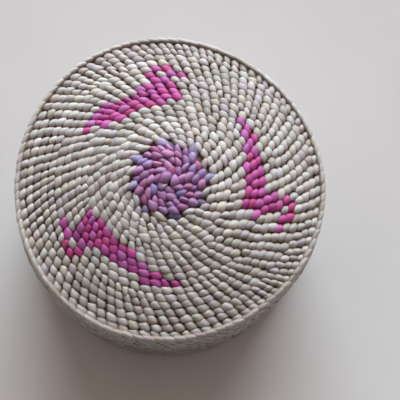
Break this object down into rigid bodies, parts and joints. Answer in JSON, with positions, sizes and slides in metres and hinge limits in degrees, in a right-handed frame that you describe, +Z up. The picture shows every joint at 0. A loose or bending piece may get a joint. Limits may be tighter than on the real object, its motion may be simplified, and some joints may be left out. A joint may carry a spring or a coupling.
{
  "type": "lidded trinket basket",
  "caption": "Small round basket with a fitted, slightly domed lid, wrapped-twined in grass over bark strips, with a rosette and three birds on the lid.",
  "frame": {"origin": "on the table, under the middle of the basket", "axes": "+Z up out of the lid, which is the way the lid lifts; +Y towards the top of the picture, +X to its right"},
  "size_m": [0.0773, 0.0777, 0.0475],
  "materials": {
    "natural_grass": "dry, slightly glossy split grass",
    "magenta_grass": "dyed split grass",
    "mauve_grass": "faded dyed split grass",
    "violet_grass": "faded dyed split grass",
    "cedar_bark": "flat strips of inner bark, matte and fibrous",
    "inner_weft": "plain matte twined strands"
  },
  "bodies": {
    "base": {"plait_strip_across_1": "cedar_bark", "plait_strip_across_2": "cedar_bark", "plait_strip_across_3": "cedar_bark", "plait_strip_across_4": "cedar_bark", "plait_strip_across_5": "cedar_bark", "plait_strip_across_6": "cedar_bark", "plait_strip_across_7": "cedar_bark", "plait_strip_along_1": "cedar_bark", "plait_strip_along_2": "cedar_bark", "plait_strip_along_3": "cedar_bark", "plait_strip_along_4": "cedar_bark", "plait_strip_along_5": "cedar_bark", "plait_strip_along_6": "cedar_bark", "plait_strip_along_7": "cedar_bark", "bottom_rows": "inner_weft", "floor_lining": "inner_weft", "heel_row": "natural_grass", "base_warps": "cedar_bark", "wall_foot_rows": "natural_grass", "wall_lower_stripe": "mauve_grass", "wall_middle_rows": "natural_grass", "wall_upper_stripe": "magenta_grass", "wall_neck_rows": "natural_grass", "wall_lining": "inner_weft", "rim_row": "natural_grass"},
    "lid": {"start_knot": "violet_grass", "rosette_rows": "mauve_grass", "lid_field_rows": "natural_grass", "bird_1": "magenta_grass", "bird_2": "magenta_grass", "bird_3": "magenta_grass", "bird_1_eye": "natural_grass", "bird_2_eye": "natural_grass", "bird_3_eye": "natural_grass", "lid_warps": "cedar_bark", "dome_lining": "inner_weft", "flange_lining": "inner_weft", "shoulder_row": "natural_grass", "flange_rows": "natural_grass", "flange_edge_row": "natural_grass"}
  },
  "joints": [
    {"name": "lid_lift", "type": "slide", "parent": "base", "child": "lid", "axis": [0, 0, 1], "range_m": [0, 0.07]}
  ]
}
